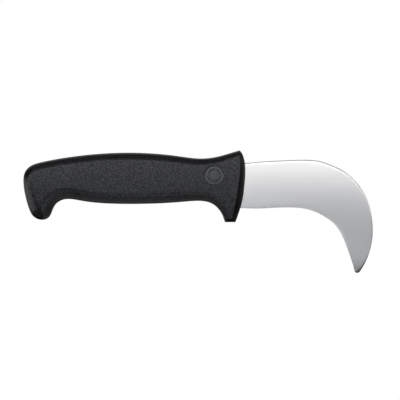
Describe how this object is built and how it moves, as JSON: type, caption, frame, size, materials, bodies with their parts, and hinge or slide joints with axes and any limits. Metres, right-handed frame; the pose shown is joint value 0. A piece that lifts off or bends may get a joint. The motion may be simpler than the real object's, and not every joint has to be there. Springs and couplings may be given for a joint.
{
  "type": "hook-blade knife",
  "caption": "Fixed-blade hawkbill trade knife: flat steel hook blade with a hidden tang, in a moulded black plastic handle with finger guard and pommel beak.",
  "frame": {"origin": "centre of the knife's bounding box, on its mirror plane", "axes": "+X from the pommel to the blade, +Z from the belly of the grip to the spine with the hook pointing down, Y across the thickness"},
  "size_m": [0.198, 0.0192, 0.0694],
  "materials": {
    "blade_steel": "satin, brushed lengthwise, with a fine polished cutting bevel",
    "handle_plastic": "fine pebbled mould grain on the grip, smooth on the front of the guard"
  },
  "bodies": {
    "root": {"blade": "blade_steel", "handle": "handle_plastic"}
  },
  "joints": []
}
